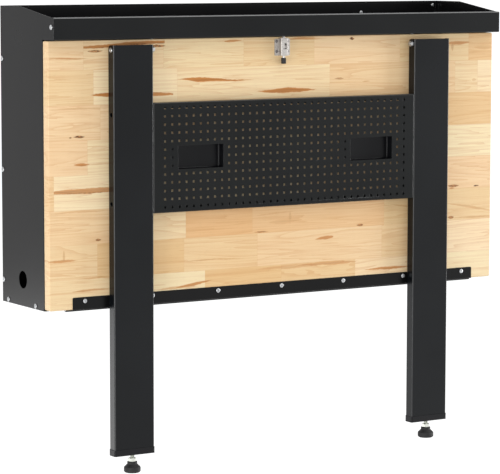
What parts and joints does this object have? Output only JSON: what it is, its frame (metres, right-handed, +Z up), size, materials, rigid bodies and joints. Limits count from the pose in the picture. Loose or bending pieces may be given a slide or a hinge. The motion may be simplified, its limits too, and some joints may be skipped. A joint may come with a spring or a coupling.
{
  "type": "folding workbench",
  "caption": "Wall-mounted folding workbench, closed: steel cabinet with tool tray, timber worktop hinged at its foot, channel legs joined by a perforated panel.",
  "frame": {"origin": "middle of the four wall bolt holes, on the back panel's wall face", "axes": "+X to the right for someone facing the bench, +Y into the wall, +Z up"},
  "size_m": [1.2252, 0.2685, 1.0568],
  "materials": {
    "case_steel": "black powder coat, satin, very fine texture",
    "rail_steel": "black powder coat, satin",
    "hinge_steel": "black powder coat, satin",
    "leg_steel": "black powder coat, satin",
    "panel_steel": "black powder coat, satin",
    "timber": "pale finger-jointed hardwood, clear lacquer",
    "zinc": "bright zinc plate",
    "latch_metal": "zinc plate, satin",
    "spring_steel": "bright wire",
    "knob_plastic": "black, fine texture",
    "cap_plastic": "black moulded end cap",
    "foot_steel": "zinc plate",
    "foot_plastic": "black hard plastic"
  },
  "bodies": {
    "cabinet": {"left_side_panel": "case_steel", "right_side_panel": "case_steel", "back_panel": "case_steel", "bottom_pan": "case_steel", "tray_floor": "case_steel", "front_rail": "rail_steel", "left_side_screws": "zinc", "right_side_screws": "zinc", "tray_rivets": "zinc", "pan_rivets": "zinc", "rail_rivets": "zinc", "hinge_rivets": "zinc", "hinge_cabinet_leaf": "hinge_steel", "hinge_pin": "zinc"},
    "worktop": {"worktop": "timber", "hinge_worktop_leaf": "hinge_steel", "hinge_screws": "zinc", "latch_plate": "latch_metal", "latch_housing": "latch_metal", "latch_screws": "latch_metal", "left_leg_bracket": "hinge_steel", "right_leg_bracket": "hinge_steel", "leg_bracket_screws": "zinc"},
    "latch_bolt": {"latch_bolt": "latch_metal", "latch_knob": "knob_plastic", "latch_spring": "spring_steel"},
    "leg_frame": {"left_leg": "leg_steel", "right_leg": "leg_steel", "perforated_panel": "panel_steel", "left_hand_recess": "panel_steel", "right_hand_recess": "panel_steel", "left_leg_cap": "cap_plastic", "right_leg_cap": "cap_plastic", "left_threaded_insert": "foot_steel", "right_threaded_insert": "foot_steel", "pivot_bolts": "zinc", "pivot_nuts": "zinc", "panel_screws": "zinc", "panel_nuts": "zinc"},
    "left_foot": {"left_foot_stud": "foot_steel", "left_lock_nut": "foot_steel"},
    "right_foot": {"right_foot_stud": "foot_steel", "right_lock_nut": "foot_steel"},
    "left_foot_pad": {"left_foot_pad": "foot_plastic"},
    "right_foot_pad": {"right_foot_pad": "foot_plastic"}
  },
  "joints": [
    {"name": "worktop_fold", "type": "hinge", "parent": "cabinet", "child": "worktop", "pos_m": [0, -0.2145, -0.3107], "axis": [1, 0, 0], "range_deg": [0, 90]},
    {"name": "leg_fold", "type": "hinge", "parent": "worktop", "child": "leg_frame", "pos_m": [0, -0.2514, 0.272], "axis": [-1, 0, 0], "range_deg": [0, 90]},
    {"name": "latch_slide", "type": "slide", "parent": "worktop", "child": "latch_bolt", "axis": [0, 0, 1], "range_m": [0, 0.005], "stiffness_N_per_m": 400, "springref_m": 0.012, "deforming": ["latch_spring"]},
    {"name": "left_foot_height", "type": "slide", "parent": "leg_frame", "child": "left_foot", "axis": [0, 0, -1], "range_m": [0, 0.02]},
    {"name": "right_foot_height", "type": "slide", "parent": "leg_frame", "child": "right_foot", "axis": [0, 0, -1], "range_m": [0, 0.02]},
    {"name": "left_pad_turn", "type": "hinge", "parent": "left_foot", "child": "left_foot_pad", "pos_m": [-0.41, -0.25, -0.67], "axis": [0, 0, 1], "continuous": true},
    {"name": "right_pad_turn", "type": "hinge", "parent": "right_foot", "child": "right_foot_pad", "pos_m": [0.41, -0.25, -0.67], "axis": [0, 0, 1], "continuous": true}
  ]
}
